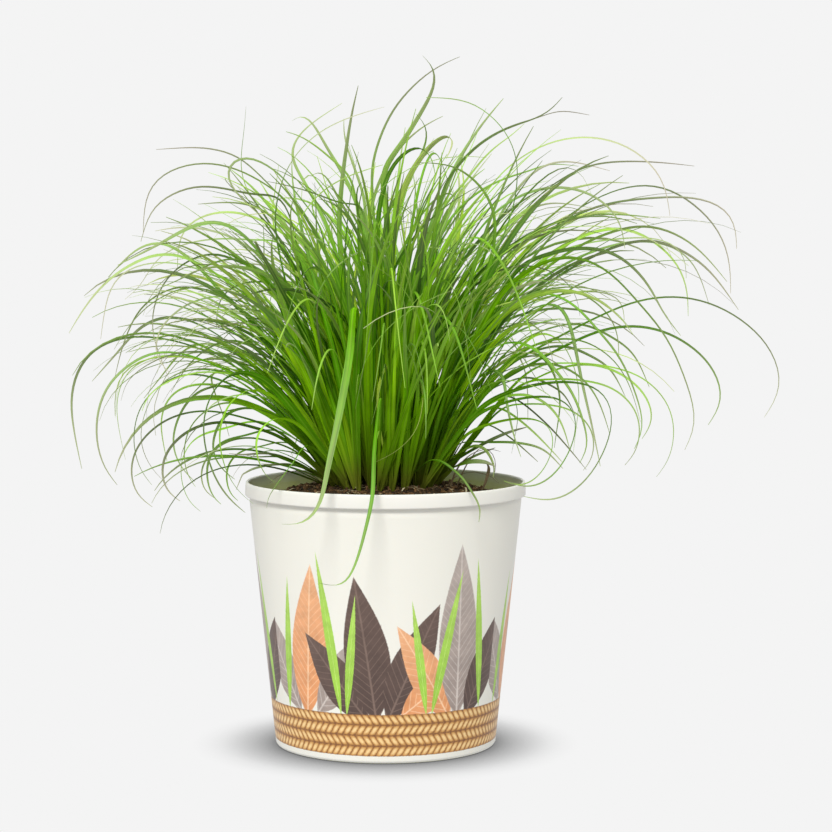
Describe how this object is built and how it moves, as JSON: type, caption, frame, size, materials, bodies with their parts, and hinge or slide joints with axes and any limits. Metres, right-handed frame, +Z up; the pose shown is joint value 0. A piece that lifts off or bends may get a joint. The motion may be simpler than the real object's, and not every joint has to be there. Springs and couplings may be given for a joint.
{
  "type": "potted umbrella sedge",
  "caption": "Tuft of arching grass-like sedge leaves growing from peat in a tapered cream plastic pot with a plain rim band.",
  "frame": {"origin": "middle of the pot's flat base, on the surface that it stands on", "axes": "+Z up along the pot's axis, -Y towards the side that the picture shows, +X to the right in it"},
  "size_m": [0.3025, 0.2723, 0.2922],
  "materials": {
    "pot": "satin",
    "peat": "matte",
    "leaf": "satin"
  },
  "bodies": {
    "root": {"pot": "pot", "peat": "peat", "shoot_01": "leaf", "shoot_02": "leaf", "shoot_03": "leaf", "shoot_04": "leaf", "shoot_05": "leaf", "shoot_06": "leaf", "shoot_07": "leaf", "shoot_08": "leaf", "shoot_09": "leaf", "shoot_10": "leaf", "shoot_11": "leaf", "shoot_12": "leaf", "shoot_13": "leaf", "shoot_14": "leaf", "shoot_15": "leaf", "shoot_16": "leaf", "shoot_17": "leaf", "shoot_18": "leaf", "shoot_19": "leaf", "shoot_20": "leaf", "shoot_21": "leaf", "shoot_22": "leaf", "shoot_23": "leaf", "shoot_24": "leaf", "shoot_25": "leaf", "shoot_26": "leaf", "shoot_27": "leaf", "shoot_28": "leaf", "shoot_29": "leaf", "shoot_30": "leaf", "shoot_31": "leaf", "shoot_32": "leaf", "shoot_33": "leaf", "shoot_34": "leaf", "shoot_35": "leaf", "shoot_36": "leaf", "shoot_37": "leaf", "shoot_38": "leaf", "shoot_39": "leaf", "shoot_40": "leaf", "shoot_41": "leaf", "shoot_42": "leaf", "shoot_43": "leaf", "shoot_44": "leaf", "shoot_45": "leaf", "shoot_46": "leaf", "shoot_47": "leaf", "shoot_48": "leaf", "shoot_49": "leaf", "shoot_50": "leaf", "shoot_51": "leaf", "shoot_52": "leaf", "shoot_53": "leaf"}
  },
  "joints": []
}
